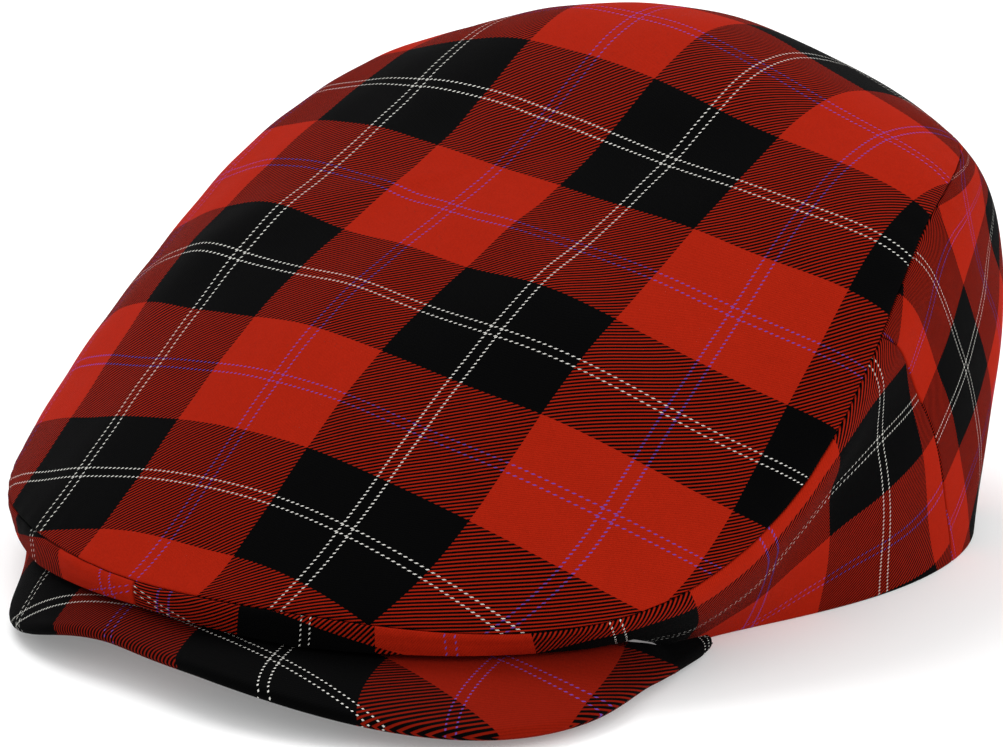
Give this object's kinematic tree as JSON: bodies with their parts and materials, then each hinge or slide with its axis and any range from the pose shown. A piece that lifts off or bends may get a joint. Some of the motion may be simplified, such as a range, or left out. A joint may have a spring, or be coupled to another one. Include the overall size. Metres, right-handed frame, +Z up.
{
  "type": "flat cap",
  "caption": "Soft flat cap in red and black checked twill: one top panel over two side panels and a bias-cut back, drawn down over an arched cloth-covered peak, open below for the head",
  "frame": {"origin": "middle of the cap in plan, at the level of the surface it stands on", "axes": "+Z up, front of the cap towards -Y, wearer's left towards +X"},
  "size_m": [0.2054, 0.2498, 0.1153],
  "materials": {
    "top_panel": "matte twill",
    "side_panel_left": "matte twill",
    "side_panel_right": "matte twill",
    "back_panel": "matte twill",
    "peak": "matte twill"
  },
  "bodies": {
    "root": {"top_panel": "top_panel", "side_panel_left": "side_panel_left", "side_panel_right": "side_panel_right", "back_panel": "back_panel", "peak": "peak"}
  },
  "joints": []
}
